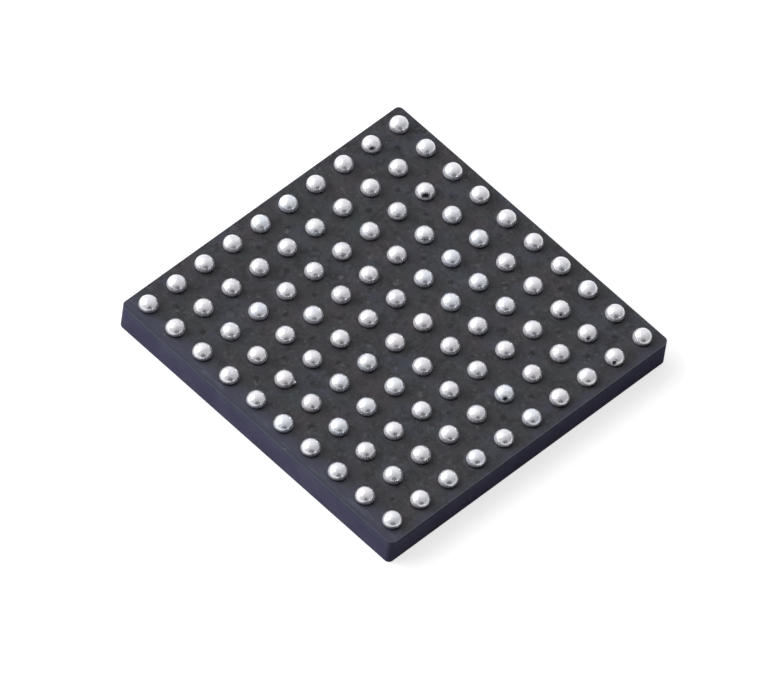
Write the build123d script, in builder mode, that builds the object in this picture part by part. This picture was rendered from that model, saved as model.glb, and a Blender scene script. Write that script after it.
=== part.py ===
from build123d import *
import os
from math import copysign, sqrt

# A fine-pitch ball grid array package, lying ball side up on its flat mould face.
# Millimetres, +Z towards the balls, sides along X and Y.
# The origin is the centre of the mould face, so the package stands on z = 0.

# Body
body_length = 8.00  # along X
body_width = 8.00  # along Y
corner_radius = 0.12  # plan radius of the four corners
mould_edge_round = 0.03  # rounding around the mould face

# Layers, from the mould face up
mould_thickness = 0.45
core_thickness = 0.19
mask_thickness = 0.030  # each solder mask, measured from the core
foil_thickness = 0.018  # copper foil, buried in the solder mask

# Ball array
ball_columns = 10  # along X
ball_rows = 10  # along Y
ball_pitch = 0.80
ball_diameter = 0.41
mask_opening = 0.40  # diameter of the opening that a ball fills
pad_diameter = 0.48  # copper pad below the opening

# Plated holes through the laminate
via_drill = 0.13
via_plating = 0.02
via_land = 0.25
plug_recess = 0.015  # end of a plug, below the foil of the ball side
dip_diameter = 0.13  # shallow dip that the solder mask has over a plugged hole
dip_depth = 0.015
track_width = 0.04  # fan-out on the die side
escape_width = 0.08  # from a ball pad to its hole

# Die, face away from the laminate
die_side = 3.90
die_thickness = 0.16
film_thickness = 0.02
die_pad_inset = 0.08  # centre of a bond pad, in from the die edge
die_pad_pitch = 0.19

# Bond fingers and the copper flag below the die
finger_row = 2.80  # centre of a row of fingers, out from the package centre
finger_pitch = 0.25
finger_length = 0.20
finger_width = 0.09
first_finger = -2.50  # place along its row of the first finger
window_margin = 0.04  # solder mask window around a row of fingers
flag_side = 2.20

# Bond wires
wire_diameter = 0.022
wire_rise = 0.10  # top of the loop above the die face
wire_knee = 0.16  # place of the loop's knee, out from the bond pad
bond_diameter = 0.050  # squashed ball on the die
bond_height = 0.012
stitch_length = 0.06  # wire laid along its finger

# Index dimple in the mould face, at the first ball of the first row
dimple_diameter = 0.60
dimple_depth = 0.02
dimple_inset = 0.80  # centre, in from both sides

# Levels
die_mask_level = mould_thickness
core_level = die_mask_level + mask_thickness
core_top = core_level + core_thickness
mask_top = core_top + mask_thickness
die_foil_level = core_level - foil_thickness
ball_foil_level = core_top + foil_thickness
die_top = die_mask_level - film_thickness
die_face = die_top - die_thickness

# Derived sizes
opening_radius = mask_opening / 2
ball_radius = ball_diameter / 2
ball_centre = mask_top + sqrt(ball_radius**2 - opening_radius**2)
hole_length = core_thickness + 2 * foil_thickness
via_bore = via_drill - 2 * via_plating
dip_radius = (dip_diameter**2 / 4 + dip_depth**2) / (2 * dip_depth)
finger_start = finger_row - finger_length / 2
finger_end = finger_row + finger_length / 2
outer_ring = (ball_columns - 2) / 2

# Where each finger of a row leads, in order along the row: the ring of holes, counted
# in pitches from the centre, and the place along that ring. The flag has no ring.
flag = None
fan_out = [
    (outer_ring, -4),
    (outer_ring, -3),
    (outer_ring - 1, -3),
    (outer_ring, -2),
    (outer_ring - 1, -2),
    (outer_ring - 2, -2),
    (outer_ring, -1),
    (outer_ring - 1, -1),
    (outer_ring - 2, -1),
    (flag, -0.5),
    (outer_ring, 0),
    (outer_ring - 1, 0),
    (outer_ring - 2, 0),
    (outer_ring, 1),
    (outer_ring - 1, 1),
    (outer_ring - 2, 1),
    (outer_ring - 1, 2),
    (outer_ring, 2),
    (outer_ring, 3),
]
wires_per_side = len(fan_out)
last_finger = first_finger + (wires_per_side - 1) * finger_pitch

# Rows are lettered in the usual way, without I and O
row_letters = "abcdefghjklmnprtuvwy"

os.makedirs("parts", exist_ok=True)


def finish(part, name):
    """Labels a finished piece and writes it as one node."""
    part.label = name
    export_step(part, f"parts/{name}.step")


def hole_sites():
    """Centres of the plated holes, one in the middle of each four balls."""
    return GridLocations(ball_pitch, ball_pitch, ball_columns - 1, ball_rows - 1)


def towards_centre(place):
    """The hole site next to a ball, half a pitch nearer the centre line."""
    return place - copysign(ball_pitch / 2, place)


# Outline shared by every layer of the body
with BuildSketch() as outline:
    RectangleRounded(body_length, body_width, corner_radius)

# Drilled holes, seen from above
with BuildSketch() as drills:
    with hole_sites():
        Circle(via_drill / 2)

# Ball side copper: each ball pad runs to the hole on its inner corner
with BuildSketch() as ball_side_pattern:
    with GridLocations(ball_pitch, ball_pitch, ball_columns, ball_rows) as balls:
        Circle(pad_diameter / 2)
    with hole_sites():
        Circle(via_land / 2)
    with BuildLine():
        for place in balls.local_locations:
            x, y = place.position.X, place.position.Y
            Line((x, y), (towards_centre(x), towards_centre(y)))
    trace(line_width=escape_width)

# Die side copper: a row of fingers with its fan-out, four times, and the flag
with BuildSketch() as finger_pattern:
    for index, (ring, step) in enumerate(fan_out):
        along = first_finger + index * finger_pitch
        if ring is flag:
            end = (flag_side / 2 - track_width, step * ball_pitch)
        else:
            end = (ring * ball_pitch, step * ball_pitch)
        with BuildLine():
            start_x = finger_start if end[0] < finger_row else finger_end
            Line((start_x + copysign(track_width, finger_row - start_x), along), end)
        trace(line_width=track_width)
        with Locations((finger_row, along)):
            Rectangle(finger_length, finger_width)

with BuildSketch() as die_side_pattern:
    Rectangle(flag_side, flag_side)
    with hole_sites():
        Circle(via_land / 2)
    with PolarLocations(0, 4):
        add(finger_pattern.sketch)

# Windows in the die side solder mask, one over each row of fingers
with BuildSketch() as windows:
    with PolarLocations(0, 4):
        with Locations((finger_row, (first_finger + last_finger) / 2)):
            Rectangle(
                finger_length + 2 * window_margin,
                last_finger - first_finger + finger_width + 2 * window_margin,
            )

# Laminate core with its drilled holes
with BuildPart() as substrate_core:
    with BuildSketch(Plane.XY.offset(core_level)):
        add(outline.sketch)
        add(drills.sketch, mode=Mode.SUBTRACT)
    extrude(amount=core_thickness)
finish(substrate_core.part, "substrate_core")

# Copper foil on both faces of the core
with BuildPart() as die_side_copper:
    with BuildSketch(Plane.XY.offset(die_foil_level)):
        add(die_side_pattern.sketch)
        add(drills.sketch, mode=Mode.SUBTRACT)
    extrude(amount=foil_thickness)
finish(die_side_copper.part, "die_side_copper")

with BuildPart() as ball_side_copper:
    with BuildSketch(Plane.XY.offset(core_top)):
        add(ball_side_pattern.sketch)
        add(drills.sketch, mode=Mode.SUBTRACT)
    extrude(amount=foil_thickness)
finish(ball_side_copper.part, "ball_side_copper")

# Plated barrels and the resin that plugs them
with BuildPart() as via_barrels:
    with BuildSketch(Plane.XY.offset(die_foil_level)):
        with hole_sites():
            Circle(via_drill / 2)
            Circle(via_bore / 2, mode=Mode.SUBTRACT)
    extrude(amount=hole_length)
finish(via_barrels.part, "via_barrels")

with BuildPart() as via_plugs:
    with BuildSketch(Plane.XY.offset(die_foil_level)):
        with hole_sites():
            Circle(via_bore / 2)
    extrude(amount=hole_length - plug_recess)
finish(via_plugs.part, "via_plugs")

# Solder mask on the die side: the foil lies in it, and it is open over the fingers
with BuildPart() as die_side_solder_mask:
    with BuildSketch(Plane.XY.offset(die_mask_level)):
        add(outline.sketch)
    extrude(amount=mask_thickness)
    with BuildSketch(Plane.XY.offset(die_foil_level)):
        add(die_side_pattern.sketch)
    extrude(amount=foil_thickness, mode=Mode.SUBTRACT)
    with BuildSketch(Plane.XY.offset(die_mask_level)):
        add(windows.sketch)
    extrude(amount=mask_thickness - foil_thickness, mode=Mode.SUBTRACT)
finish(die_side_solder_mask.part, "die_side_solder_mask")

# Solder mask on the ball side: the foil lies in it, it is open over each pad, and over
# each plugged hole it reaches in to the plug and has a shallow dip
with BuildPart() as ball_side_solder_mask:
    with BuildSketch(Plane.XY.offset(core_top)):
        add(outline.sketch)
    extrude(amount=mask_thickness)
    with BuildSketch(Plane.XY.offset(core_top)):
        add(ball_side_pattern.sketch)
    extrude(amount=foil_thickness, mode=Mode.SUBTRACT)
    with BuildSketch(Plane.XY.offset(ball_foil_level)):
        with GridLocations(ball_pitch, ball_pitch, ball_columns, ball_rows):
            Circle(opening_radius)
    extrude(amount=mask_thickness - foil_thickness, mode=Mode.SUBTRACT)
    with BuildSketch(Plane.XY.offset(ball_foil_level - plug_recess)):
        with hole_sites():
            Circle(via_bore / 2)
    extrude(amount=plug_recess)
    with Locations((0, 0, mask_top - dip_depth + dip_radius)):
        with hole_sites():
            Sphere(dip_radius, mode=Mode.SUBTRACT)
finish(ball_side_solder_mask.part, "ball_side_solder_mask")

# Die attach film and die, back to the laminate
with BuildPart() as die_attach_film:
    with BuildSketch(Plane.XY.offset(die_top)):
        Rectangle(die_side, die_side)
    extrude(amount=film_thickness)
finish(die_attach_film.part, "die_attach_film")

with BuildPart() as die:
    with BuildSketch(Plane.XY.offset(die_face)):
        Rectangle(die_side, die_side)
    extrude(amount=die_thickness)
finish(die.part, "die")


def bond_wire(pad_y, finger_y):
    """One wire of the +X side: squashed ball, loop, and a stitch along its finger."""
    pad_x = die_side / 2 - die_pad_inset
    stitch_level = die_foil_level - wire_diameter / 2
    loop_top = die_face - wire_rise
    outward = Vector(finger_row - pad_x, finger_y - pad_y, 0).normalized()
    knee = Vector(pad_x, pad_y, loop_top) + outward * wire_knee
    middle = Vector(finger_row, finger_y, stitch_level)
    with BuildPart() as wire:
        with BuildSketch(Plane((pad_x, pad_y, die_face))):
            Circle(bond_diameter / 2)
        extrude(amount=-bond_height)
        with BuildLine() as loop:
            Polyline(
                (pad_x, pad_y, die_face - bond_height / 2),
                (pad_x, pad_y, loop_top),
                knee,
                middle - outward * stitch_length / 2,
                middle + outward * stitch_length / 2,
            )
        with BuildSketch(Plane(loop.line @ 0, x_dir=outward, z_dir=loop.line % 0)):
            Rectangle(wire_diameter, wire_diameter)
        sweep(path=loop.line, transition=Transition.RIGHT)
    return wire.part


# Bond wires, a row for each side of the die
wires = []
for index in range(wires_per_side):
    pad_place = (index - (wires_per_side - 1) / 2) * die_pad_pitch
    wires.append(bond_wire(pad_place, first_finger + index * finger_pitch))
wire_rows = []
for turn, side in enumerate(("east", "north", "west", "south")):
    with BuildPart() as wire_row:
        add([wire.rotate(Axis.Z, turn * 90) for wire in wires])
    wire_rows.append(wire_row.part)
    finish(wire_row.part, f"bond_wires_{side}")

# Moulding compound, cast around the die and its wires
with BuildPart() as mould_cap:
    with BuildSketch():
        add(outline.sketch)
    extrude(amount=mould_thickness)
    fillet(mould_cap.edges().group_by(Axis.Z)[0], mould_edge_round)
    with BuildSketch(Plane.XY.offset(die_mask_level)):
        add(windows.sketch)
    extrude(amount=mask_thickness - foil_thickness)
    with Locations((dimple_inset - body_length / 2, body_width / 2 - dimple_inset)):
        Cylinder(
            dimple_diameter / 2,
            dimple_depth,
            align=(Align.CENTER, Align.CENTER, Align.MIN),
            mode=Mode.SUBTRACT,
        )
    add(die.part, mode=Mode.SUBTRACT)
    add(die_attach_film.part, mode=Mode.SUBTRACT)
    add(wire_rows, mode=Mode.SUBTRACT)
finish(mould_cap.part, "mould_cap")

# One solder ball: a neck that fills the mask opening and a sphere standing on it
with BuildPart() as ball:
    with BuildSketch(Plane.XZ):
        with BuildLine():
            Polyline((0, ball_foil_level), (opening_radius, ball_foil_level), (opening_radius, mask_top))
            ThreePointArc(
                (opening_radius, mask_top),
                (ball_radius, ball_centre),
                (0, ball_centre + ball_radius),
            )
            Line((0, ball_centre + ball_radius), (0, ball_foil_level))
        make_face()
    revolve(axis=Axis.Z)

# Rows of balls, the first one on the +Y side
for row in range(ball_rows):
    row_y = ((ball_rows - 1) / 2 - row) * ball_pitch
    with BuildPart() as ball_row:
        with Locations((0, row_y)):
            with GridLocations(ball_pitch, ball_pitch, ball_columns, 1):
                add(ball.part)
    finish(ball_row.part, f"ball_row_{row_letters[row]}")
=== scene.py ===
"""A ball grid array package in a plain studio, lying ball side up.

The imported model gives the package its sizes. This file gives each piece its finish, the ball side its
relief, and the solder balls their reflowed surface. Lengths are in metres, except in the finishes, whose
patterns are laid out in millimetres and whose relief is in micrometres.
"""

import logging
import math
from dataclasses import dataclass, field
from enum import Enum
from functools import reduce

import bmesh
import bpy
from mathutils import Matrix, Vector


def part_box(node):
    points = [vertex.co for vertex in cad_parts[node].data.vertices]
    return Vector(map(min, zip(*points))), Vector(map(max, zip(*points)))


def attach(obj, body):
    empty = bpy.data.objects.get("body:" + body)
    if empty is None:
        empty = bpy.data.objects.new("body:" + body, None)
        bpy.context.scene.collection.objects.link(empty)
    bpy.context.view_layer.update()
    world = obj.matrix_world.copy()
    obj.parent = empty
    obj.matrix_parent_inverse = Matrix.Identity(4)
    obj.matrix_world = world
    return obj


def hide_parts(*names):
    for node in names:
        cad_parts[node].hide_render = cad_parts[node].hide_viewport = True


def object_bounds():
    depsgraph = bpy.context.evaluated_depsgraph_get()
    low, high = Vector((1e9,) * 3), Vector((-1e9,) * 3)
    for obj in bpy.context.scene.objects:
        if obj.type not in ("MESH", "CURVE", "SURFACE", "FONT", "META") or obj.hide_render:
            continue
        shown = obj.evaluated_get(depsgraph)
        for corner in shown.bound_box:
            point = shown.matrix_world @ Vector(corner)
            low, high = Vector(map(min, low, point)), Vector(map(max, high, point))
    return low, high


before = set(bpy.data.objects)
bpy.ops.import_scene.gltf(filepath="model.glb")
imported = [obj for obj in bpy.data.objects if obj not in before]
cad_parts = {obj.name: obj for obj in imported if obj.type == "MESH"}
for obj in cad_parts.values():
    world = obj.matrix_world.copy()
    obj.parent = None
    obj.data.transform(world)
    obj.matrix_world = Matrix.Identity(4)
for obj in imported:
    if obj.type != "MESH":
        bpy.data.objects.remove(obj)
cad_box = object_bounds()

log = logging.getLogger("package")

MM = 0.001
MICROMETRE = 0.001 * MM
ROOT = "root"
ROW_LETTERS = "abcdefghjk"
BALL_PITCH = 0.80 * MM

Colour = tuple[float, float, float, float]
Triple = tuple[float, float, float]
Span = tuple[float, float]


def paint(red: float, green: float, blue: float) -> Colour:
    """A linear colour with full alpha."""
    return (red, green, blue, 1.0)


def towards(azimuth: float, elevation: float) -> Vector:
    """The direction at an azimuth from +X towards +Y and an elevation, both in degrees."""
    turn, rise = math.radians(azimuth), math.radians(elevation)
    return Vector((math.cos(rise) * math.cos(turn), math.cos(rise) * math.sin(turn), math.sin(rise)))


class Graph:
    """Adds nodes to one tree and joins their sockets."""

    def __init__(self, tree: bpy.types.NodeTree) -> None:
        """Starts from an empty tree.

        Args:
            tree: the node tree to fill.
        """
        self.tree = tree
        tree.nodes.clear()

    def add(self, kind: str, **inputs: object) -> bpy.types.Node:
        """Adds a node and sets or links its inputs.

        Args:
            kind: the node's type.
            inputs: values or output sockets by input name with spaces as underscores; a name that starts
                with "set_" is a property of the node itself, and "at_N" is the input of index N.

        Returns:
            The new node.
        """
        node = self.tree.nodes.new(kind)
        for name, value in inputs.items():
            if name.startswith("set_"):
                setattr(node, name[4:], value)
        for name, value in inputs.items():
            if name.startswith("set_"):
                continue
            if name.startswith("at_"):
                socket = node.inputs[int(name[3:])]
            else:
                socket = node.inputs[name.replace("_", " ")]
            self.feed(socket, value)
        return node

    def feed(self, socket: bpy.types.NodeSocket, value: object) -> None:
        """Links an output socket to an input, or sets the input's own value.

        Args:
            socket: the input.
            value: an output socket, or a value that fits the input.
        """
        if isinstance(value, bpy.types.NodeSocket):
            self.tree.links.new(value, socket)
        else:
            socket.default_value = value

    def math(self, operation: str, *values: object, clamp: bool = False) -> bpy.types.NodeSocket:
        """One arithmetic step.

        Args:
            operation: the Math node's operation.
            values: numbers or sockets, in order.
            clamp: whether the result is held between 0 and 1.

        Returns:
            The result's socket.
        """
        node = self.add("ShaderNodeMath", set_operation=operation, set_use_clamp=clamp)
        for index, value in enumerate(values):
            self.feed(node.inputs[index], value)
        return node.outputs[0]

    def times(self, *values: object) -> bpy.types.NodeSocket:
        """The product of numbers or sockets."""
        return reduce(lambda so_far, value: self.math("MULTIPLY", so_far, value), values)

    def most(self, *values: object) -> bpy.types.NodeSocket:
        """The largest of numbers or sockets."""
        return reduce(lambda so_far, value: self.math("MAXIMUM", so_far, value), values)

    def vector(self, operation: str, *values: object, scale: float | None = None) -> bpy.types.NodeSocket:
        """One vector step.

        Args:
            operation: the Vector Math node's operation.
            values: vectors or sockets, in order.
            scale: the factor of a SCALE step.

        Returns:
            The result's socket: a number for LENGTH, DISTANCE and DOT_PRODUCT, else a vector.
        """
        node = self.add("ShaderNodeVectorMath", set_operation=operation)
        for index, value in enumerate(values):
            self.feed(node.inputs[index], value)
        if scale is not None:
            self.feed(node.inputs["Scale"], scale)
        number = operation in {"LENGTH", "DISTANCE", "DOT_PRODUCT"}
        return node.outputs["Value" if number else "Vector"]

    def ramp(
        self, value: object, low: object, high: object, to_low: object = 0.0, to_high: object = 1.0
    ) -> bpy.types.NodeSocket:
        """Maps a value smoothly from one span to another.

        Args:
            value: the number or socket to map.
            low: where the span starts.
            high: where the span ends.
            to_low: the result at and before low.
            to_high: the result at and past high.

        Returns:
            The result's socket.
        """
        node = self.add("ShaderNodeMapRange", set_interpolation_type="SMOOTHSTEP")
        for index, item in enumerate((value, low, high, to_low, to_high)):
            self.feed(node.inputs[index], item)
        return node.outputs[0]

    def axes(self, vector: object) -> list[bpy.types.NodeSocket]:
        """The three numbers of a vector."""
        return list(self.add("ShaderNodeSeparateXYZ", Vector=vector).outputs)

    def joined(self, x: object = 0.0, y: object = 0.0, z: object = 0.0) -> bpy.types.NodeSocket:
        """The vector of three numbers or sockets."""
        return self.add("ShaderNodeCombineXYZ", X=x, Y=y, Z=z).outputs[0]


@dataclass(frozen=True)
class Cloud:
    """A patchy layer, which comes in where noise rises over a span of its values.

    Attributes:
        per_mm: how many cycles the noise has in a millimetre.
        span: the noise's values where the layer starts and where it is full.
        strength: how strong the layer is up to the start and from the end on.
        detail: how many octaves the noise has.
        rough: how strong its fine octaves are.
    """

    per_mm: float
    span: Span
    strength: Span = (0.0, 1.0)
    detail: float = 2.0
    rough: float = 0.5


@dataclass(frozen=True)
class Fade:
    """A layer that comes in over a distance: where it starts, where it is full and how strong it gets."""

    start: float
    full: float
    strength: float = 1.0


@dataclass(frozen=True)
class Grain:
    """Relief of noise: its cycles in a millimetre, its height in micrometres and its octaves."""

    per_mm: float
    height: float
    detail: float = 2.0


class Surface(Graph):
    """A shader tree whose patterns are laid out in millimetres on the object."""

    def __init__(self, name: str) -> None:
        """Starts a material.

        Args:
            name: the material's name.
        """
        self.material = bpy.data.materials.new(name)
        self.material.use_nodes = True
        super().__init__(self.material.node_tree)
        place = self.add("ShaderNodeTexCoord").outputs["Object"]
        self.place = self.vector("SCALE", place, scale=1 / MM)
        self.shader = self.add("ShaderNodeBsdfPrincipled")
        self.add("ShaderNodeOutputMaterial", Surface=self.shader.outputs[0])

    def stretched(self, x: float, y: float, z: float) -> bpy.types.NodeSocket:
        """The place on the object with each axis scaled, for grain that runs one way."""
        return self.vector("MULTIPLY", self.place, (x, y, z))

    def noise(
        self, per_mm: float, detail: float = 2.0, rough: float = 0.5, place: object = None
    ) -> bpy.types.NodeSocket:
        """Cloudy noise from 0 to 1.

        Args:
            per_mm: how many cycles it has in a millimetre.
            detail: how many octaves it has.
            rough: how strong the fine octaves are.
            place: the vector that it is read at, the place on the object by default.

        Returns:
            The noise's socket.
        """
        at = self.place if place is None else place
        node = self.add("ShaderNodeTexNoise", Vector=at, Scale=per_mm, Detail=detail, Roughness=rough)
        return node.outputs["Fac"]

    def cells(self, per_mm: float, feature: str = "F1") -> bpy.types.Node:
        """A Voronoi node with the given number of cells in a millimetre."""
        return self.add("ShaderNodeTexVoronoi", set_feature=feature, Vector=self.place, Scale=per_mm)

    def cloud(self, layer: Cloud, place: object = None) -> bpy.types.NodeSocket:
        """The strength of a patchy layer, read at the place on the object by default."""
        noise = self.noise(layer.per_mm, layer.detail, layer.rough, place)
        return self.ramp(noise, *layer.span, *layer.strength)

    def fade(self, away: object, layer: Fade) -> bpy.types.NodeSocket:
        """The strength of a layer at a distance."""
        return self.ramp(away, layer.start, layer.full, 0.0, layer.strength)

    def band(self, away: object, edges: tuple[Fade, Fade]) -> bpy.types.NodeSocket:
        """The strength of a layer between two edges."""
        return self.times(self.fade(away, edges[0]), self.fade(away, edges[1]))

    def grain(self, layer: Grain) -> tuple[bpy.types.NodeSocket, float]:
        """One layer of relief, as a height from 0 to 1 and its size in micrometres."""
        return self.noise(layer.per_mm, layer.detail), layer.height

    def flat(self, place: object) -> bpy.types.NodeSocket:
        """The place with its height taken out."""
        return self.vector("MULTIPLY", place, (1.0, 1.0, 0.0))

    def blend(self, amount: object, first: object, second: object) -> bpy.types.NodeSocket:
        """Mixes two colours.

        Args:
            amount: 0 for the first colour, 1 for the second.
            first: a colour or socket.
            second: a colour or socket.

        Returns:
            The mixed colour's socket.
        """
        node = self.add("ShaderNodeMix", set_data_type="RGBA")
        self.feed(node.inputs[0], amount)
        self.feed(node.inputs[6], first)
        self.feed(node.inputs[7], second)
        return node.outputs[2]

    def relief(self, *layers: tuple[object, float]) -> None:
        """Adds bumps to the shader.

        Args:
            layers: each a height from 0 to 1 and its size in micrometres.
        """
        normal = None
        for height, micrometres in layers:
            bump = self.add("ShaderNodeBump", Height=height, Distance=micrometres * MICROMETRE)
            if normal is not None:
                self.feed(bump.inputs["Normal"], normal)
            normal = bump.outputs[0]
        self.feed(self.shader.inputs["Normal"], normal)

    def set(self, **inputs: object) -> None:
        """Sets or links the shader's inputs by name, with spaces as underscores."""
        for name, value in inputs.items():
            self.feed(self.shader.inputs[name.replace("_", " ")], value)


@dataclass(frozen=True)
class Specks:
    """Pale grains in some cells of a pattern.

    Attributes:
        per_mm: how many cells the pattern has in a millimetre.
        bare: the share of the cells without a grain.
        strength: how pale the grains are.
        sure: how much further into the lot a grain has its full strength.
        edge: a grain's edge, in cells from its middle.
    """

    per_mm: float
    bare: float
    strength: float
    sure: float = 0.02
    edge: Fade = Fade(0.30, 0.08)


@dataclass(frozen=True)
class SolderMaskFinish:
    """Satin black solder mask, faintly mottled and specked, with painted shade in the dips over some
    plugged holes, pale spots beside them, a painted reflection round each ball's foot, and painted bluish
    light and pale streaks along its edges.
    """

    name: str = "black_solder_mask"
    pitch: float = BALL_PITCH / MM
    half_side: float = cad_box[1][0] / MM
    specular: float = 0.22
    gloss: Cloud = Cloud(2.4, (0.3, 0.7), (0.24, 0.34), 3.0)
    swell: Grain = Grain(3.5, 4.0)
    fine_grain: Grain = Grain(22.0, 1.6, 3.0)

    base: Colour = paint(0.0465, 0.0450, 0.0530)
    green: Colour = paint(0.0450, 0.0520, 0.0550)
    red: Colour = paint(0.0570, 0.0490, 0.0560)
    blue: Colour = paint(0.0520, 0.0560, 0.0740)
    pale: Colour = paint(0.135, 0.135, 0.145)
    shade: Colour = paint(0.0265, 0.0265, 0.0310)
    green_patches: Cloud = Cloud(1.2, (0.44, 0.64))
    tinted_patches: Cloud = Cloud(1.1, (0.50, 0.66))
    red_shift: Triple = (7.0, 3.0, 0.0)
    blue_shift: Triple = (19.0, 3.0, 0.0)
    dull_mottle: Cloud = Cloud(5.0, (0.46, 0.64), (0.0, 0.85), 4.0, 0.7)
    pale_mottle: Cloud = Cloud(11.0, (0.52, 0.74), (0.0, 0.42), 3.0, 0.7)

    # Painted shade: the dark colour laid into the dips over the plugged holes, where shade falls.
    painted_dip_shade: Colour = paint(0.0150, 0.0150, 0.0190)
    stir: float = 0.16
    stir_per_mm: float = 6.0
    hollow_edge: Fade = Fade(0.095, 0.035, 0.95)
    hollow_breaks: Cloud = Cloud(13.0, (0.36, 0.50), (0.20, 1.0), 2.0, 0.6)
    hollow_choice: Cloud = Cloud(2.7, (0.46, 0.58), (0.05, 1.0), 1.0)
    # A pale spot beside each chosen dip, offset towards +X and -Y.
    pale_spot_shift: Triple = (0.060, -0.060, 0.0)
    pale_spot_edge: Fade = Fade(0.110, 0.030, 0.85)
    pale_spot_breaks: Cloud = Cloud(15.0, (0.46, 0.60), (0.0, 1.0), 2.0, 0.6)
    pale_spot_choice: Cloud = Cloud(1.7, (0.42, 0.62), (0.10, 0.80), 1.0)

    # Painted reflection: the lighter colour of the ring round each ball's foot, where the ball shows in the
    # glossy mask.
    painted_ball_reflection: Colour = paint(0.070, 0.070, 0.082)
    ring_edges: tuple[Fade, Fade] = (Fade(0.200, 0.225), Fade(0.285, 0.245))
    ring_breaks: Cloud = Cloud(2.2, (0.48, 0.62), (0.0, 0.85), 1.0)

    # Painted light: a lighter bluish band along the mask's edges, broadest on the front (-Y) side; it
    # stands for the light and bluish reflection that fall there.
    painted_edge_light: Colour = paint(0.058, 0.061, 0.092)
    ragged: float = 0.7
    ragged_per_mm: float = 1.6
    right_calm: float = 0.5
    front_border: Fade = Fade(0.66, 0.04)
    front_crease: Fade = Fade(0.10, 0.03)
    right_border: Fade = Fade(0.24, 0.0, 0.6)
    back_border: Fade = Fade(0.05, 0.0, 0.6)

    # Pale streaks along the front edge and pale flecks along the right edge.
    pale_streak: Colour = paint(0.110, 0.122, 0.160)
    streaks: Cloud = Cloud(1.0, (0.50, 0.68), (0.0, 0.60), 3.0, 0.65)
    streak_grain: Triple = (1.6, 7.0, 1.0)
    streak_edges: tuple[Fade, Fade] = (Fade(0.34, 0.16), Fade(0.0, 0.08))
    flecks: Cloud = Cloud(1.0, (0.60, 0.74), (0.0, 0.55), 3.0, 0.65)
    fleck_grain: Triple = (9.0, 3.0, 1.0)
    fleck_edges: tuple[Fade, Fade] = (Fade(0.20, 0.08), Fade(0.0, 0.05))

    # Painted light: the bluish colour of the mask's last hair on the front side.
    rim: Colour = paint(0.050, 0.052, 0.086)
    rim_light_edge: Fade = Fade(0.085, 0.020, 0.75)
    specks: tuple[Specks, ...] = (Specks(7.0, 0.955, 0.55), Specks(13.0, 0.965, 0.8))

    def build(self) -> bpy.types.Material:
        """Builds the material.

        Returns:
            The material.
        """
        s = Surface(self.name)
        tint = s.blend(s.cloud(self.green_patches), self.base, self.green)
        for shift, colour in ((self.red_shift, self.red), (self.blue_shift, self.blue)):
            patches = s.cloud(self.tinted_patches, s.vector("ADD", s.place, shift))
            tint = s.blend(patches, tint, colour)
        dip_shades, pale_spots = self.plug_marks(s)
        edge_light_band, streaked = self.edge_light_and_streaks(s)
        layers = (
            (s.cloud(self.dull_mottle), self.shade),
            (s.cloud(self.pale_mottle), self.pale),
            (dip_shades, self.painted_dip_shade),
            (pale_spots, self.pale),
            (self.ring(s), self.painted_ball_reflection),
            (edge_light_band, self.painted_edge_light),
            (streaked, self.pale_streak),
            (self.outer_rim_light(s), self.rim),
            (self.scattered(s), self.pale),
        )
        for strength, colour in layers:
            tint = s.blend(strength, tint, colour)
        s.set(Base_Color=tint, Roughness=s.cloud(self.gloss), Specular_IOR_Level=self.specular)
        s.relief(s.grain(self.swell), s.grain(self.fine_grain))
        return s.material

    def ring(self, s: Surface) -> bpy.types.NodeSocket:
        """A faint broken lighter ring round each ball's foot: a painted reflection of the ball on the mask.

        Args:
            s: the surface that it is drawn on.

        Returns:
            Its strength from 0 to 1.
        """
        flat = s.flat(s.place)
        cell = s.vector("FLOOR", s.vector("SCALE", flat, scale=1 / self.pitch))
        ball = s.vector("SCALE", s.vector("ADD", cell, (0.5, 0.5, 0.0)), scale=self.pitch)
        away = s.vector("DISTANCE", flat, ball)
        return s.times(s.band(away, self.ring_edges), s.cloud(self.ring_breaks))

    def plug_marks(self, s: Surface) -> tuple[bpy.types.NodeSocket, bpy.types.NodeSocket]:
        """Painted shade in the dip over some of the plugged holes, and a pale spot beside each dip towards
        +X and -Y.

        Args:
            s: the surface that they are drawn on.

        Returns:
            The strengths of the painted dip shade and of the pale spot from 0 to 1.
        """
        flat = s.flat(s.place)
        stirred = s.add("ShaderNodeTexNoise", Vector=flat, Scale=self.stir_per_mm, Detail=1.0)
        drift = s.vector("SUBTRACT", stirred.outputs["Color"], (0.5, 0.5, 0.5))
        drift = s.vector("SCALE", drift, scale=self.stir)
        flat = s.flat(s.vector("ADD", flat, drift))
        steps = s.vector("SCALE", flat, scale=1 / self.pitch)
        cell = s.vector("FLOOR", s.vector("ADD", steps, (0.5, 0.5, 0.0)))
        hole = s.vector("SCALE", cell, scale=self.pitch)
        beside = s.vector("ADD", hole, self.pale_spot_shift)
        # Painted shade: darkens the dip over each chosen hole.
        painted_dip_shade = s.fade(s.vector("DISTANCE", flat, hole), self.hollow_edge)
        pale_spot = s.fade(s.vector("DISTANCE", flat, beside), self.pale_spot_edge)
        return (
            s.times(painted_dip_shade, s.cloud(self.hollow_breaks), s.cloud(self.hollow_choice)),
            s.times(pale_spot, s.cloud(self.pale_spot_breaks), s.cloud(self.pale_spot_choice)),
        )

    def scattered(self, s: Surface) -> bpy.types.NodeSocket:
        """Scattered pale grains of two sizes.

        Args:
            s: the surface that they lie on.

        Returns:
            Their strength from 0 to 1.
        """
        layers = []
        for size in self.specks:
            cell = s.cells(size.per_mm)
            lot = s.add("ShaderNodeSeparateColor", Color=cell.outputs["Color"]).outputs[0]
            chosen = s.ramp(lot, size.bare, size.bare + size.sure, 0.0, size.strength)
            layers.append(s.times(s.fade(cell.outputs["Distance"], size.edge), chosen))
        return s.most(*layers)

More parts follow.
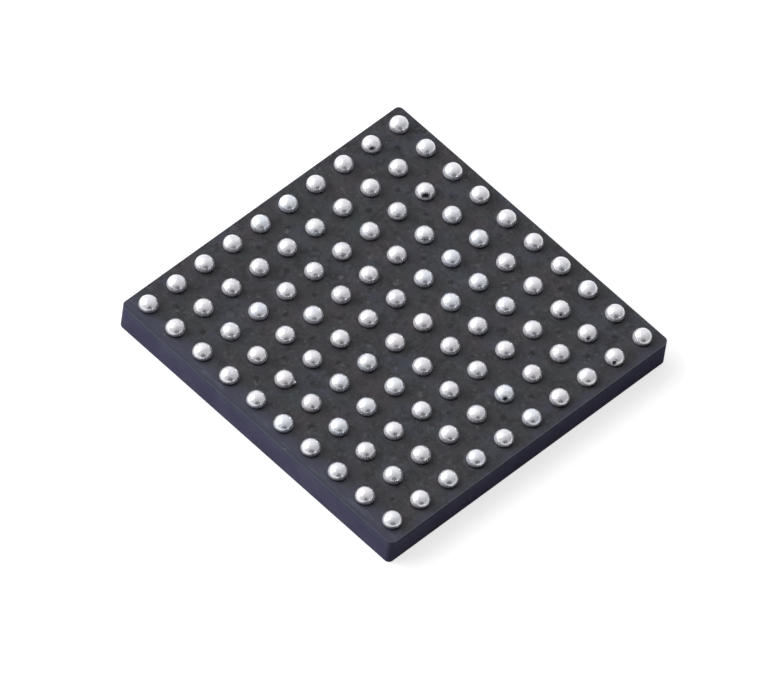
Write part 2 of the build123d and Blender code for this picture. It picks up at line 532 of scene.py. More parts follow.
    def outer_rim_light(self, s: Surface) -> bpy.types.NodeSocket:
        """Painted bluish light on the last hair of the mask on the front side, where it turns down into its
        sawn edge.
        """
        return s.fade(s.math("ADD", s.axes(s.place)[1], self.half_side), self.rim_light_edge)

    def edge_light_and_streaks(self, s: Surface) -> tuple[bpy.types.NodeSocket, bpy.types.NodeSocket]:
        """Painted bluish light in a band along the sides, broadest on the front, and pale streaks and
        flecks on it.

        Args:
            s: the surface that they are drawn on.

        Returns:
            The strengths of the painted edge light and of the pale streaks from 0 to 1.
        """
        x, y, _ = s.axes(s.place)
        ragged = s.times(s.math("SUBTRACT", s.noise(self.ragged_per_mm), 0.5), self.ragged)
        front = s.math("ADD", y, self.half_side)
        right = s.math("SUBTRACT", self.half_side, x)
        back = s.math("SUBTRACT", self.half_side, s.math("ABSOLUTE", s.most(s.times(x, -1.0), y)))
        edge_light_band = s.most(
            s.fade(s.math("ADD", front, ragged), self.front_border),
            s.fade(front, self.front_crease),
            s.fade(s.math("ADD", right, s.times(ragged, self.right_calm)), self.right_border),
            s.fade(back, self.back_border),
        )
        streaks = s.cloud(self.streaks, s.stretched(*self.streak_grain))
        flecks = s.cloud(self.flecks, s.stretched(*self.fleck_grain))
        streaked = s.most(
            s.times(streaks, s.band(front, self.streak_edges)),
            s.times(flecks, s.band(right, self.fleck_edges)),
        )
        return edge_light_band, streaked


@dataclass(frozen=True)
class WallFinish:
    """A sawn wall or a moulded face of dark filled resin."""

    name: str
    base: Colour
    filler: Colour
    saw_marks: float = 1.2
    saw_grain: Triple = (2.0, 2.0, 34.0)
    fine_grain: Grain = Grain(30.0, 1.6, 3.0)
    clouds: Cloud = Cloud(1.3, (0.35, 0.70), (0.0, 0.45), 3.0)
    gloss: Cloud = Cloud(8.0, (0.3, 0.7), (0.60, 0.72))
    filler_per_mm: float = 38.0
    filler_edge: Fade = Fade(0.18, 0.05, 0.35)
    specular: float = 0.03

    def build(self) -> bpy.types.Material:
        """Builds the material.

        Returns:
            The material.
        """
        s = Surface(self.name)
        clouded = s.blend(s.cloud(self.clouds), self.base, self.filler)
        grains = s.fade(s.cells(self.filler_per_mm).outputs["Distance"], self.filler_edge)
        s.set(
            Base_Color=s.blend(grains, clouded, self.filler),
            Roughness=s.cloud(self.gloss),
            Specular_IOR_Level=self.specular,
        )
        marks = s.noise(1.0, place=s.stretched(*self.saw_grain))
        s.relief((marks, self.saw_marks), s.grain(self.fine_grain))
        return s.material


@dataclass(frozen=True)
class SolderFinish:
    """Reflowed solder: bright satin metal with a fine frozen grain, patches of painted coloured reflection,
    a painted dark reflection in its pits and painted shade at its foot.
    """

    name: str = "solder"
    bright: Colour = paint(0.94, 0.94, 0.97)
    dull: Colour = paint(0.77, 0.77, 0.84)
    # Painted reflection: the near-black laid into the pits, which all face the same way on their balls; it
    # stands for a dark reflection, not a colour of the solder.
    pit: Colour = paint(0.02, 0.02, 0.03)
    # Painted reflection: cool and warm tints in broad patches stand for coloured reflections on the metal.
    cool_reflection: Colour = paint(0.84, 0.90, 1.0)
    warm_reflection: Colour = paint(0.96, 0.91, 0.95)
    # Painted shade: the dark colour that each ball takes on near its seat, where the contact shadow falls.
    painted_foot_shade: Colour = paint(0.10, 0.10, 0.12)
    dull_patches: Cloud = Cloud(9.0, (0.38, 0.68), detail=3.0, rough=0.6)
    cool_reflection_patches: Cloud = Cloud(0.7, (0.50, 0.66), (0.0, 0.5), 1.0)
    warm_reflection_patches: Cloud = Cloud(0.7, (0.52, 0.66), (0.0, 0.5), 1.0)
    warm_reflection_shift: Triple = (31.0, 4.0, 0.0)
    foot_shade_edge: Fade = Fade(0.084, 0.018, 0.95)
    metallic: float = 0.58
    gloss: Cloud = Cloud(14.0, (0.3, 0.7), (0.19, 0.31))
    facet_per_mm: float = 12.0
    facet_relief: float = 3.0
    fine_grain: Grain = Grain(34.0, 0.35)

    def build(self, mask_top: float) -> bpy.types.Material:
        """Builds the material.

        Args:
            mask_top: the height of the mask that the balls stand on.

        Returns:
            The material.
        """
        s = Surface(self.name)
        metal = s.blend(s.cloud(self.dull_patches), self.bright, self.dull)
        # Painted reflection: patches of cool and warm tint in place of coloured reflections.
        metal = s.blend(s.cloud(self.cool_reflection_patches), metal, self.cool_reflection)
        drift = s.vector("ADD", s.place, self.warm_reflection_shift)
        metal = s.blend(s.cloud(self.warm_reflection_patches, drift), metal, self.warm_reflection)
        # Painted shade: the balls darken towards their seat on the mask, where the contact shadow falls.
        rise = s.math("SUBTRACT", s.axes(s.place)[2], mask_top / MM)
        metal = s.blend(s.fade(rise, self.foot_shade_edge), metal, self.painted_foot_shade)
        # The pit attribute paints that dark reflection into each pit.
        pit = s.add("ShaderNodeAttribute", set_attribute_name="pit").outputs["Fac"]
        s.set(
            Base_Color=s.blend(pit, metal, self.pit),
            Metallic=self.metallic,
            Roughness=s.cloud(self.gloss),
        )
        facets = s.cells(self.facet_per_mm, "SMOOTH_F1").outputs["Distance"]
        s.relief((facets, self.facet_relief), s.grain(self.fine_grain))
        return s.material


@dataclass(frozen=True)
class HiddenFinish:
    """A plain inner piece: a cloudy colour, its shine and a fine grain."""

    name: str
    base: Colour
    shade: Colour
    metallic: float = 0.0
    roughness: float = 0.4
    grain_per_mm: float = 20.0
    grain_height: float = 0.6
    cloud_size: float = 4.0

    def build(self) -> bpy.types.Material:
        """Builds the material.

        Returns:
            The material.
        """
        s = Surface(self.name)
        clouds = Cloud(self.grain_per_mm / self.cloud_size, (0.3, 0.7), detail=3.0)
        s.set(
            Base_Color=s.blend(s.cloud(clouds), self.base, self.shade),
            Metallic=self.metallic,
            Roughness=self.roughness,
        )
        s.relief(s.grain(Grain(self.grain_per_mm, self.grain_height, 3.0)))
        return s.material


MOULD = WallFinish("moulding_compound", paint(0.068, 0.066, 0.120), paint(0.112, 0.110, 0.176))
LAMINATE = WallFinish(
    "black_laminate", paint(0.073, 0.075, 0.126), paint(0.117, 0.119, 0.180), saw_marks=2.0
)
INNER_MASK = WallFinish("inner_solder_mask", paint(0.067, 0.066, 0.118), paint(0.108, 0.107, 0.166))
INNER_FINISHES = {
    "die_side_copper": HiddenFinish(
        "gilt_copper", paint(0.72, 0.43, 0.24), paint(0.80, 0.55, 0.28), metallic=1.0, roughness=0.3
    ),
    "ball_side_copper": HiddenFinish(
        "bare_copper", paint(0.70, 0.38, 0.24), paint(0.60, 0.30, 0.18), metallic=1.0, roughness=0.35
    ),
    "via_barrels": HiddenFinish(
        "plated_copper", paint(0.68, 0.37, 0.23), paint(0.60, 0.31, 0.19), metallic=1.0, roughness=0.4
    ),
    "via_plugs": HiddenFinish(
        "plug_resin", paint(0.16, 0.15, 0.13), paint(0.11, 0.10, 0.09), roughness=0.6
    ),
    "die": HiddenFinish(
        "silicon", paint(0.22, 0.23, 0.26), paint(0.17, 0.18, 0.21), 0.6, 0.18, grain_per_mm=60.0
    ),
    "die_attach_film": HiddenFinish(
        "film", paint(0.30, 0.27, 0.20), paint(0.24, 0.21, 0.16), roughness=0.5
    ),
}
WIRE_FINISH = HiddenFinish(
    "gold_wire", paint(0.95, 0.68, 0.28), paint(0.88, 0.60, 0.22), metallic=1.0, roughness=0.2
)


class Form(Graph):
    """A Geometry Nodes tree with named inputs and one mesh as its result."""

    def __init__(self, name: str, sizes: dict[str, float]) -> None:
        """Starts a tree.

        Args:
            name: the tree's name.
            sizes: its inputs by name; whole numbers become integer inputs.
        """
        tree = bpy.data.node_groups.new(name, "GeometryNodeTree")
        super().__init__(tree)
        self.sizes = sizes
        tree.interface.new_socket("Geometry", in_out="OUTPUT", socket_type="NodeSocketGeometry")
        for label, value in sizes.items():
            kind = "NodeSocketInt" if isinstance(value, int) else "NodeSocketFloat"
            tree.interface.new_socket(label, in_out="INPUT", socket_type=kind)
        self.inputs = self.add("NodeGroupInput").outputs

    def close(self, geometry: bpy.types.NodeSocket, material: bpy.types.Material) -> None:
        """Ends the tree in real geometry of one material.

        Args:
            geometry: the finished form.
            material: its material.
        """
        real = self.add("GeometryNodeRealizeInstances", Geometry=geometry).outputs[0]
        dressed = self.add("GeometryNodeSetMaterial", Geometry=real, Material=material).outputs[0]
        self.add("NodeGroupOutput", Geometry=dressed)

    def mesh(self, name: str, **changes: float) -> bpy.types.Object:
        """Runs the tree and keeps its result as a plain mesh.

        Args:
            name: the new object's name.
            changes: inputs that differ from the tree's own sizes, by name with spaces as underscores.

        Returns:
            The object, at the origin and with no modifier.
        """
        carrier = bpy.data.objects.new(name + "_carrier", bpy.data.meshes.new(name + "_carrier"))
        bpy.context.scene.collection.objects.link(carrier)
        modifier = carrier.modifiers.new("form", "NODES")
        modifier.node_group = self.tree
        values = dict(self.sizes)
        values.update({label.replace("_", " "): value for label, value in changes.items()})
        for item in self.tree.interface.items_tree:
            if item.in_out == "INPUT":
                modifier[item.identifier] = values[item.name]
        depsgraph = bpy.context.evaluated_depsgraph_get()
        mesh = bpy.data.meshes.new_from_object(carrier.evaluated_get(depsgraph))
        bpy.data.objects.remove(carrier)
        mesh.name = name
        piece = bpy.data.objects.new(name, mesh)
        bpy.context.scene.collection.objects.link(piece)
        return piece


class MarkKind(Enum):
    """What a flaw on a ball does to its surface."""

    PIT = "pit"
    NUB = "nub"


@dataclass(frozen=True)
class BallMark:
    """A flaw on one ball, as the photograph shows it."""

    kind: MarkKind
    row: str
    column: int
    azimuth: float
    elevation: float
    size_mm: float
    depth_mm: float
    spread: float = 1.0
    # How strongly the painted dark reflection is laid into a pit.
    pit_reflection_darkness: float = 1.6


# Azimuths are degrees from +X towards +Y, and elevations are degrees above the ball's equator.
BALL_MARKS = (
    BallMark(MarkKind.PIT, "b", 3, -42.0, 26.0, 0.085, 0.050, 1.5),
    BallMark(MarkKind.PIT, "b", 1, -42.0, 28.0, 0.055, 0.040, 1.5),
    BallMark(MarkKind.PIT, "e", 9, -42.0, 26.0, 0.055, 0.030, 1.5),
    BallMark(MarkKind.PIT, "b", 10, -50.0, 20.0, 0.065, 0.035),
    BallMark(MarkKind.PIT, "b", 9, -42.0, 22.0, 0.050, 0.035),
    BallMark(MarkKind.PIT, "b", 8, -42.0, 24.0, 0.045, 0.030),
    BallMark(MarkKind.PIT, "c", 4, -44.0, 24.0, 0.075, 0.020, 1.6, 0.85),
    BallMark(MarkKind.PIT, "c", 3, -46.0, 20.0, 0.045, 0.015, 2.0, 0.60),
    BallMark(MarkKind.PIT, "d", 4, -30.0, 28.0, 0.065, 0.015, 1.3, 0.45),
    BallMark(MarkKind.PIT, "e", 3, -42.0, 26.0, 0.060, 0.015, 1.5, 0.45),
    BallMark(MarkKind.PIT, "b", 4, -44.0, 24.0, 0.055, 0.012, 1.6, 0.45),
    BallMark(MarkKind.NUB, "j", 5, 30.0, 2.0, 0.070, 0.055),
    BallMark(MarkKind.NUB, "j", 5, 206.0, -12.0, 0.080, 0.030),
    BallMark(MarkKind.NUB, "h", 6, 165.0, 8.0, 0.060, 0.022),
)


@dataclass
class SolderBalls:
    """The hundred balls, a row to a piece, each reflowed a little differently."""

    finish: SolderFinish = field(default_factory=SolderFinish)
    columns: int = len(ROW_LETTERS)
    pitch: float = BALL_PITCH
    sides: int = 48
    rings: int = 28
    growth: Span = (1.012, 1.036)
    growth_seed: float = 40.0
    wobble: float = 0.0050 * MM
    wobble_per_m: float = 5200.0
    facet: float = 0.0040 * MM
    facet_per_m: float = 7800.0
    facet_middle: float = 0.45
    calm_height: float = 0.005 * MM
    free_height: float = 0.05 * MM
    flaw_reach: float = 1.5

    def __post_init__(self) -> None:
        """Reads the ball's sizes from the frame."""
        low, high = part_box("ball_row_a")
        _, mask_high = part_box("ball_side_solder_mask")
        self.radius = (high[1] - low[1]) / 2
        self.mask_top = mask_high[2]
        self.centre = high[2] - self.radius
        self.lift = self.centre - self.mask_top

    def build(self) -> None:
        """Makes the rows and lets each stand for its node."""
        form = self.form(self.finish.build(self.mask_top))
        for index, letter in enumerate(ROW_LETTERS):
            node = f"ball_row_{letter}"
            low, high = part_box(node)
            row_y = (low[1] + high[1]) / 2
            piece = form.mesh(f"solder_{node}", Row_Y=row_y, Seed=index)
            self.mark(piece, letter, row_y)
            piece.data.shade_smooth()
            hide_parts(node)
            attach(piece, ROOT)
            log.info("%s: %d faces", piece.name, len(piece.data.polygons))

    def form(self, material: bpy.types.Material) -> Form:
        """Builds the tree of one row of balls.

        Args:
            material: the solder's material.

        Returns:
            The tree.
        """
        sizes = {
            "Columns": self.columns,
            "Pitch": self.pitch,
            "Row Y": 0.0,
            "Radius": self.radius,
            "Lift": self.lift,
            "Centre": self.centre,
            "Wobble": self.wobble,
            "Facet": self.facet,
            "Seed": 0,
        }
        f = Form("ball_row", sizes)
        given = f.inputs
        sphere = f.add(
            "GeometryNodeMeshUVSphere", Segments=self.sides, Rings=self.rings, Radius=given["Radius"]
        ).outputs[0]
        x, y, z = f.axes(f.add("GeometryNodeInputPosition").outputs[0])
        cut = f.joined(x, y, f.most(z, f.times(given["Lift"], -1.0)))
        seated = f.add("GeometryNodeSetPosition", Geometry=sphere, Position=cut).outputs[0]
        half = f.math("DIVIDE", f.math("SUBTRACT", given["Columns"], 1.0), 2.0)
        start = f.joined(f.times(half, given["Pitch"], -1.0), given["Row Y"], given["Centre"])
        step = f.joined(given["Pitch"])
        line = f.add(
            "GeometryNodeMeshLine", Count=given["Columns"], Start_Location=start, Offset=step
        ).outputs[0]
        number = f.add("GeometryNodeInputIndex").outputs[0]
        turn = f.add(
            "FunctionNodeRandomValue", set_data_type="FLOAT", at_2=0.0, at_3=2 * math.pi,
            ID=number, Seed=given["Seed"],
        ).outputs[1]
        size = f.add(
            "FunctionNodeRandomValue", set_data_type="FLOAT", at_2=self.growth[0], at_3=self.growth[1],
            ID=number, Seed=f.math("ADD", given["Seed"], self.growth_seed),
        ).outputs[1]
        rows = f.add(
            "GeometryNodeInstanceOnPoints",
            Points=line,
            Instance=seated,
            Rotation=f.joined(z=turn),
            Scale=f.joined(size, size, 1.0),
        ).outputs[0]
        solid = f.add("GeometryNodeRealizeInstances", Geometry=rows).outputs[0]
        f.close(self.reflow(f, solid), material)
        return f

    def reflow(self, f: Form, solid: bpy.types.NodeSocket) -> bpy.types.NodeSocket:
        """Gives the balls their frozen facets and soft dents above the seat.

        Args:
            f: the tree.
            solid: the plain balls.

        Returns:
            The balls with their surface moved.
        """
        given = f.inputs
        place = f.add("GeometryNodeInputPosition").outputs[0]
        normal = f.add("GeometryNodeInputNormal").outputs[0]
        soft = f.add("ShaderNodeTexNoise", Vector=place, Scale=self.wobble_per_m, Detail=1.0).outputs["Fac"]
        flats = f.add(
            "ShaderNodeTexVoronoi", set_feature="SMOOTH_F1", Vector=place, Scale=self.facet_per_m
        ).outputs["Distance"]
        swell = f.times(f.math("SUBTRACT", soft, 0.5), f.times(given["Wobble"], 2.0))
        dent = f.times(f.math("SUBTRACT", flats, self.facet_middle), f.times(given["Facet"], -1.0))
        seat = f.math("SUBTRACT", given["Centre"], given["Lift"])
        calm = f.math("ADD", seat, self.calm_height)
        free = f.math("ADD", seat, self.free_height)
        amount = f.times(f.math("ADD", swell, dent), f.ramp(f.axes(place)[2], calm, free))
        offset = f.vector("SCALE", normal, scale=amount)
        return f.add("GeometryNodeSetPosition", Geometry=solid, Offset=offset).outputs[0]

    def mark(self, piece: bpy.types.Object, letter: str, row_y: float) -> None:
        """Presses the pits and raises the nubs of one row, and paints a dark reflection into each pit
        through the pit attribute.

        Args:
            piece: the row's mesh.
            letter: the row's letter.
            row_y: the row's place.
        """
        shade = piece.data.attributes.new("pit", "FLOAT", "POINT")
        for flaw in (m for m in BALL_MARKS if m.row == letter):
            x = (flaw.column - (self.columns + 1) / 2) * self.pitch
            centre = Vector((x, row_y, self.centre))
            out = towards(flaw.azimuth, flaw.elevation)
            level = towards(flaw.azimuth + 90.0, 0.0)
            spot = centre + out * self.radius
            for vertex in piece.data.vertices:
                offset = vertex.co - spot
                along = offset.dot(level)
                squeezed = offset + level * (along / flaw.spread - along)
                away = squeezed.length / (flaw.size_mm * MM)
                if away >= 1 or (vertex.co - centre).length > self.radius * self.flaw_reach:
                    continue
                fall = (1 - away * away) ** 2
                sign = -1 if flaw.kind is MarkKind.PIT else 1
                vertex.co += out * (sign * fall * flaw.depth_mm * MM)
                if flaw.kind is MarkKind.PIT:
                    # Painted reflection: the pit attribute darkens the solder's colour in the dent.
                    shade.data[vertex.index].value = min(1.0, flaw.pit_reflection_darkness * fall)


@dataclass
class BallSideMask:
    """The solder mask that the balls stand on, with the copper's relief under it."""

    finish: SolderMaskFinish = field(default_factory=SolderMaskFinish)
    pitch: float = BALL_PITCH
    cells: int = 300
    sites: int = len(ROW_LETTERS) // 2 - 1
    copper_rise: float = 0.0045 * MM
    copper_ease: Span = (0.02 * MM, 0.01 * MM)
    track_half: float = 0.04 * MM
    land_radius: float = 0.125 * MM
    pad_radius: float = 0.24 * MM
    dip_radius: float = 0.066 * MM
    dip_depth: float = 0.0145 * MM
    dip_per_m: float = 700.0
    dip_span: Span = (0.42, 0.62)
    dip_least: float = 0.15
    swell: float = 0.0025 * MM
    swell_per_m: float = 1900.0
    corner: float = 0.12 * MM
    edge_break: float = 0.003 * MM
    edge_share: float = 0.999
    crease_deg: float = 40.0

    def __post_init__(self) -> None:
        """Reads the mask's box from the frame."""
        self.low, self.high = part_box("ball_side_solder_mask")

    def build(self) -> None:
        """Makes the mask and lets it stand for its node."""
        piece = self.form(self.finish.build()).mesh("solder_mask_face")
        self.round_corners(piece)
        self.close_below(piece)
        piece.data.shade_smooth()
        piece.data.set_sharp_from_angle(angle=math.radians(self.crease_deg))
        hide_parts("ball_side_solder_mask")
        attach(piece, ROOT)
        log.info("%s: %d faces", piece.name, len(piece.data.polygons))

    def form(self, material: bpy.types.Material) -> Form:
        """Builds the tree of the upper face.

        Args:
            material: the mask's material.

        Returns:
            The tree.
        """
        sizes = {
            "Length": self.high[0] - self.low[0],
            "Width": self.high[1] - self.low[1],
            "Top": self.high[2],
            "Cells": self.cells,
            "Pitch": self.pitch,
            "Sites": float(self.sites),
            "Copper Rise": self.copper_rise,
            "Dip Radius": self.dip_radius,
            "Dip Depth": self.dip_depth,
            "Swell": self.swell,
        }
        f = Form("mask_face", sizes)
        given = f.inputs
        corners = f.math("ADD", given["Cells"], 1.0)
        grid = f.add(
            "GeometryNodeMeshGrid", Size_X=given["Length"], Size_Y=given["Width"],
            Vertices_X=corners, Vertices_Y=corners,
        ).outputs[0]
        place = f.add("GeometryNodeInputPosition").outputs[0]
        x, y, _ = f.axes(place)
        hole = self.length(f, self.to_hole(f, x), self.to_hole(f, y))
        ball = self.length(f, self.to_ball(f, x), self.to_ball(f, y))
        land = self.over_copper(f, hole, self.land_radius)
        pad = self.over_copper(f, ball, self.pad_radius)
        copper = f.most(land, pad, self.track(f, x, y))
        share = f.math("DIVIDE", hole, given["Dip Radius"])
        dip = f.math("SUBTRACT", 1.0, f.times(share, share), clamp=True)
        soft = f.add("ShaderNodeTexNoise", Vector=place, Scale=self.swell_per_m, Detail=2.0).outputs["Fac"]
        uneven = f.add("ShaderNodeTexNoise", Vector=place, Scale=self.dip_per_m, Detail=1.0).outputs["Fac"]
        depth = f.times(given["Dip Depth"], f.ramp(uneven, *self.dip_span, self.dip_least, 1.0))
        level = f.math("SUBTRACT", f.times(copper, given["Copper Rise"]), f.times(dip, depth))
        level = f.math("ADD", level, f.times(f.math("SUBTRACT", soft, 0.5), given["Swell"]))
        level = f.math("ADD", level, f.math("SUBTRACT", given["Top"], given["Copper Rise"]))
        raised = f.add("GeometryNodeSetPosition", Geometry=grid, Offset=f.joined(z=level)).outputs[0]
        f.close(raised, material)
        return f

    @staticmethod
    def length(f: Form, x: bpy.types.NodeSocket, y: bpy.types.NodeSocket) -> bpy.types.NodeSocket:
        """The distance that two offsets make."""
        return f.math("SQRT", f.math("ADD", f.times(x, x), f.times(y, y)))

    def over_copper(self, f: Form, away: bpy.types.NodeSocket, edge: float) -> bpy.types.NodeSocket:
        """1 over copper whose edge is that far away, easing to 0 beside it."""
        return f.ramp(away, edge + self.copper_ease[0], edge - self.copper_ease[1])

    def to_hole(self, f: Form, value: bpy.types.NodeSocket) -> bpy.types.NodeSocket:
        """How far a coordinate is from the nearest row of plated holes.

        Args:
            f: the tree.
            value: the coordinate.

        Returns:
            The signed offset from the row.
        """
        index = f.math("ROUND", f.math("DIVIDE", value, f.inputs["Pitch"]))
        held = f.math("MINIMUM", f.most(index, f.times(f.inputs["Sites"], -1.0)), f.inputs["Sites"])
        return f.math("SUBTRACT", value, f.times(held, f.inputs["Pitch"]))

    def to_ball(self, f: Form, value: bpy.types.NodeSocket) -> bpy.types.NodeSocket:
        """How far a coordinate is from the nearest row of balls."""
        index = f.math("FLOOR", f.math("DIVIDE", value, f.inputs["Pitch"]))
        return f.math("SUBTRACT", value, f.times(f.math("ADD", index, 0.5), f.inputs["Pitch"]))

    def track(self, f: Form, x: bpy.types.NodeSocket, y: bpy.types.NodeSocket) -> bpy.types.NodeSocket:
        """The short track from each ball pad to the hole on its inner corner.

        Args:
            f: the tree.
            x: the coordinate along X.
            y: the coordinate along Y.

        Returns:
            1 over a track and 0 away from it.
        """
        pitch = f.inputs["Pitch"]
        along, across = (f.math("FRACT", f.math("DIVIDE", f.math("ABSOLUTE", v), pitch)) for v in (x, y))
        aside = f.math("ABSOLUTE", f.math("SUBTRACT", along, across))
        away = f.times(aside, f.times(pitch, math.sqrt(0.5)))
        inner = f.math("LESS_THAN", f.math("ADD", along, across), 1.0)
        return f.times(self.over_copper(f, away, self.track_half), inner)

    def round_corners(self, piece: bpy.types.Object) -> None:
        """Bends the square grid into the rounded outline and eases its upper edge.

        Args:
            piece: the mask, still an open grid.
        """
        half = [(self.high[i] - self.low[i]) / 2 for i in (0, 1)]
        for vertex in piece.data.vertices:
            x, y = vertex.co.x, vertex.co.y
            u = (abs(x) - half[0] + self.corner) / self.corner
            v = (abs(y) - half[1] + self.corner) / self.corner
            if u > 0 and v > 0:
                bent_x = half[0] - self.corner + self.corner * u * math.sqrt(max(0.0, 1 - v * v / 2))
                bent_y = half[1] - self.corner + self.corner * v * math.sqrt(max(0.0, 1 - u * u / 2))
                vertex.co.x = math.copysign(bent_x, x)
                vertex.co.y = math.copysign(bent_y, y)
            if max(u, v) > self.edge_share:
                vertex.co.z = self.high[2] - self.edge_break

    def close_below(self, piece: bpy.types.Object) -> None:
        """Adds the mask's edge down to the laminate and its underside.

        Args:
            piece: the mask, still an open grid.
        """
        work = bmesh.new()
        work.from_mesh(piece.data)
        rim = [edge for edge in work.edges if edge.is_boundary]
        grown = bmesh.ops.extrude_edge_only(work, edges=rim)["geom"]
        lower = [v for v in grown if isinstance(v, bmesh.types.BMVert)]
        for vertex in lower:
            vertex.co.z = self.low[2]
        bottom = [e for e in grown if isinstance(e, bmesh.types.BMEdge) and e.is_boundary]
        bmesh.ops.contextual_create(work, geom=bottom)
        bmesh.ops.recalc_face_normals(work, faces=work.faces)
        work.to_mesh(piece.data)
        work.free()


@dataclass
class PackageBody:
    """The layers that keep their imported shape: mould, laminate and everything inside."""

    def build(self) -> None:
        """Gives each layer its finish."""
        self.dress("mould_cap", MOULD.build())
        self.dress("substrate_core", LAMINATE.build())
        self.dress("die_side_solder_mask", INNER_MASK.build())
        for node, finish in INNER_FINISHES.items():
            self.dress(node, finish.build())
        wire = WIRE_FINISH.build()
        for side in ("east", "north", "west", "south"):
            self.dress(f"bond_wires_{side}", wire)

    @staticmethod
    def dress(node: str, material: bpy.types.Material) -> None:
        """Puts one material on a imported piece.

        Args:
            node: the piece's name in the frame.
            material: its material.
        """
        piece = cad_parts[node]
        piece.data.materials.clear()
        piece.data.materials.append(material)
        log.info("%s wears %s", node, material.name)


@dataclass(frozen=True)
class Lamp:
    """A square soft lamp that faces the package, in degrees, metres and watts."""

    name: str
    azimuth: float
    elevation: float
    distance: float
    side: float
    watts: float


@dataclass(frozen=True)
class SkyPatch:
    """A part of the sky.

    Attributes:
        middle: the direction of its middle.
        span: the cosines to the middle where it starts and where it is full.
        strength: its values up to the start and from there on.
    """

    middle: Triple
    span: Span
    strength: Span


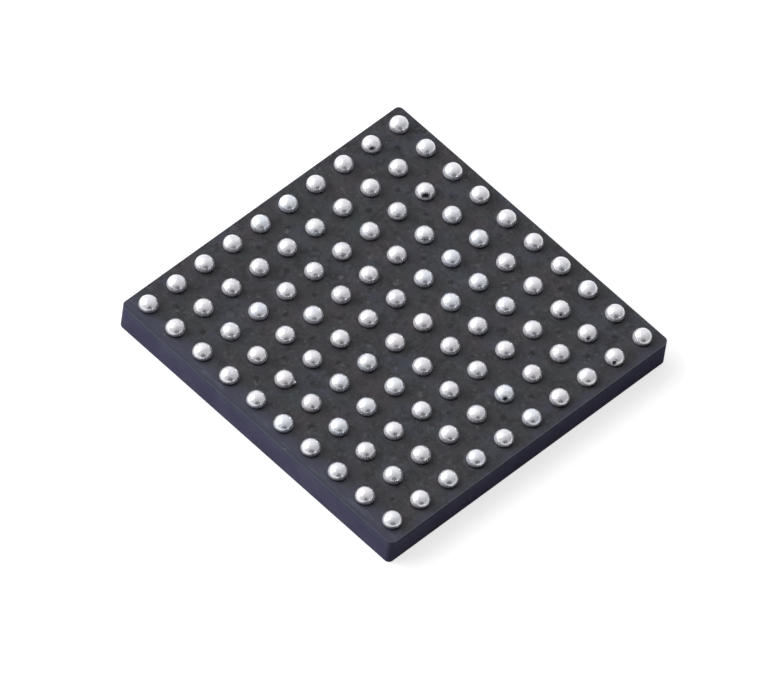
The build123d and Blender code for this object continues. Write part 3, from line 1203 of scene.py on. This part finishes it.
@dataclass
class Studio:
    """The floor, the lamp, the world and the camera at the photograph's angle."""

    azimuth: float = 38.854
    elevation: float = 52.651
    roll: float = 8.712
    distance: float = 348.9 * MM
    focal_mm: float = 785.6
    clip: Span = (0.01, 20.0)
    aim_right: float = -0.1365 * MM
    aim_up: float = -0.5885 * MM
    aim_height: float = 0.86 * MM
    floor_side: float = 3.0
    floor_opening: float = 7.90 * MM
    floor_drop: float = 0.001 * MM
    paper: float = 0.60
    paper_lift: float = 0.72
    world_fill: float = 0.62
    dark_spot: SkyPatch = SkyPatch((0.794, -0.544, 0.272), (0.82, 0.965), (0.0, 0.97))
    dark_side: SkyPatch = SkyPatch((0.950, -0.280, 0.140), (-0.25, 0.60), (0.0, 0.96))
    bright_side: SkyPatch = SkyPatch((-0.810, 0.370, 0.455), (-0.15, 0.65), (0.62, 1.0))
    key: Lamp = Lamp("key_lamp", azimuth=-147.0, elevation=36.0, distance=0.16, side=0.16, watts=0.250)

    def build(self) -> None:
        """Sets the whole studio up."""
        self.place_camera()
        self.lay_floor()
        self.light_world()
        self.hang(self.key)
        bpy.context.scene.view_settings.view_transform = "Standard"

    def place_camera(self) -> None:
        """Puts the camera where the photograph was taken from."""
        back = towards(self.azimuth - 90.0, self.elevation)
        level = towards(self.azimuth, 0.0)
        steep = back.cross(level)
        roll = math.radians(self.roll)
        right = level * math.cos(roll) + steep * math.sin(roll)
        up = steep * math.cos(roll) - level * math.sin(roll)
        data = bpy.data.cameras.new("camera")
        data.lens = self.focal_mm
        data.clip_start, data.clip_end = self.clip
        camera = bpy.data.objects.new("camera", data)
        bpy.context.scene.collection.objects.link(camera)
        aim = Vector((0.0, 0.0, self.aim_height)) + right * self.aim_right + up * self.aim_up
        place = aim + back * self.distance
        rows = [(right[k], up[k], back[k], place[k]) for k in range(3)]
        camera.matrix_world = Matrix([*rows, (0.0, 0.0, 0.0, 1.0)])
        bpy.context.scene.camera = camera

    def lay_floor(self) -> None:
        """Lays a white floor that keeps the package's soft shadow, open where the package covers it."""
        mesh = bpy.data.meshes.new("floor")
        corners = [
            (x * half, y * half, -self.floor_drop)
            for half in (self.floor_side / 2, self.floor_opening / 2)
            for x, y in ((-1, -1), (1, -1), (1, 1), (-1, 1))
        ]
        mesh.from_pydata(corners, [], [(k, (k + 1) % 4, (k + 1) % 4 + 4, k + 4) for k in range(4)])
        floor = bpy.data.objects.new("floor", mesh)
        bpy.context.scene.collection.objects.link(floor)
        floor.data.materials.append(self.floor_material())

    @staticmethod
    def seen(g: Graph) -> bpy.types.NodeSocket:
        """1 where the floor or the world is looked at, and 0 where it only lights the package."""
        path = g.add("ShaderNodeLightPath").outputs
        return g.most(path["Is Camera Ray"], path["Is Glossy Ray"], path["Is Transmission Ray"])

    def floor_material(self) -> bpy.types.Material:
        """White paper, which the camera sees a little brighter than its lamp makes it.

        Returns:
            The material.
        """
        material = bpy.data.materials.new("white_paper")
        material.use_nodes = True
        g = Graph(material.node_tree)
        paper = g.add("ShaderNodeBsdfDiffuse", Color=paint(self.paper, self.paper, self.paper)).outputs[0]
        glow = g.times(self.seen(g), self.paper_lift)
        lift = g.add("ShaderNodeEmission", Color=paint(1, 1, 1), Strength=glow).outputs[0]
        both = g.add("ShaderNodeAddShader", at_0=paper, at_1=lift).outputs[0]
        g.add("ShaderNodeOutputMaterial", Surface=both)
        return material

    def light_world(self) -> None:
        """Makes a world that is white to look at and softer as a light."""
        world = bpy.data.worlds.new("world")
        world.use_nodes = True
        bpy.context.scene.world = world
        g = Graph(world.node_tree)
        seen = self.seen(g)
        glossy = g.add("ShaderNodeLightPath").outputs["Is Glossy Ray"]
        way = g.add("ShaderNodeTexCoord").outputs["Generated"]
        spot, side, left = (
            g.ramp(g.vector("DOT_PRODUCT", way, patch.middle), *patch.span, *patch.strength)
            for patch in (self.dark_spot, self.dark_side, self.bright_side)
        )
        dark = g.most(g.times(spot, glossy), g.times(side, g.math("SUBTRACT", 1.0, seen)))
        mirrored = g.ramp(glossy, 0.0, 1.0, 1.0, left)
        fill = g.ramp(seen, 0.0, 1.0, self.world_fill, 1.0)
        strength = g.times(fill, mirrored, g.math("SUBTRACT", 1.0, dark))
        sky = g.add("ShaderNodeBackground", Color=paint(1, 1, 1), Strength=strength).outputs[0]
        g.add("ShaderNodeOutputWorld", Surface=sky)

    @staticmethod
    def hang(lamp: Lamp) -> None:
        """Hangs a lamp so that it faces the package.

        Args:
            lamp: the lamp to hang.
        """
        data = bpy.data.lights.new(lamp.name, "AREA")
        data.size = lamp.side
        data.energy = lamp.watts
        hung = bpy.data.objects.new(lamp.name, data)
        bpy.context.scene.collection.objects.link(hung)
        out = towards(lamp.azimuth, lamp.elevation)
        hung.location = out * lamp.distance
        hung.rotation_euler = out.to_track_quat("Z", "Y").to_euler()


def main() -> None:
    """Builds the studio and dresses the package."""
    logging.basicConfig(level=logging.INFO, format="%(name)s: %(message)s")
    Studio().build()
    PackageBody().build()
    BallSideMask().build()
    SolderBalls().build()


if __name__ == "__main__":
    main()
